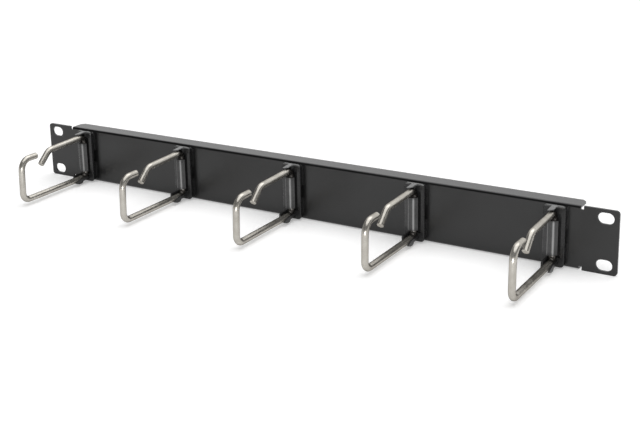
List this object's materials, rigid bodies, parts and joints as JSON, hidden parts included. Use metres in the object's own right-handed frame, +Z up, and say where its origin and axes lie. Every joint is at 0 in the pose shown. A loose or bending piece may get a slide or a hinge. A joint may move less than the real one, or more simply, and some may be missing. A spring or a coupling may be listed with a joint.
{
  "type": "horizontal cable manager",
  "caption": "Rack panel of folded black steel with rack slots in its ears and a row of open bent-wire rings, each gripped by a moulded plastic holder, that guide patch cables.",
  "frame": {"origin": "middle of the four rack slots, on the ears' rear face, which seats on the rack's rails", "axes": "+X along the panel, from left to right seen from the front; +Y into the rack, so the rings stand towards -Y; +Z up"},
  "size_m": [0.4826, 0.0916, 0.044],
  "materials": {
    "panel": "satin black powder coat with a fine grain",
    "holder": "black moulded plastic, satin",
    "ring": "drawn steel wire with satin nickel plating, slightly warm"
  },
  "bodies": {
    "root": {"rack_panel": "panel", "ring_holder_1": "holder", "cable_ring_1": "ring", "ring_holder_2": "holder", "cable_ring_2": "ring", "ring_holder_3": "holder", "cable_ring_3": "ring", "ring_holder_4": "holder", "cable_ring_4": "ring", "ring_holder_5": "holder", "cable_ring_5": "ring"}
  },
  "joints": []
}
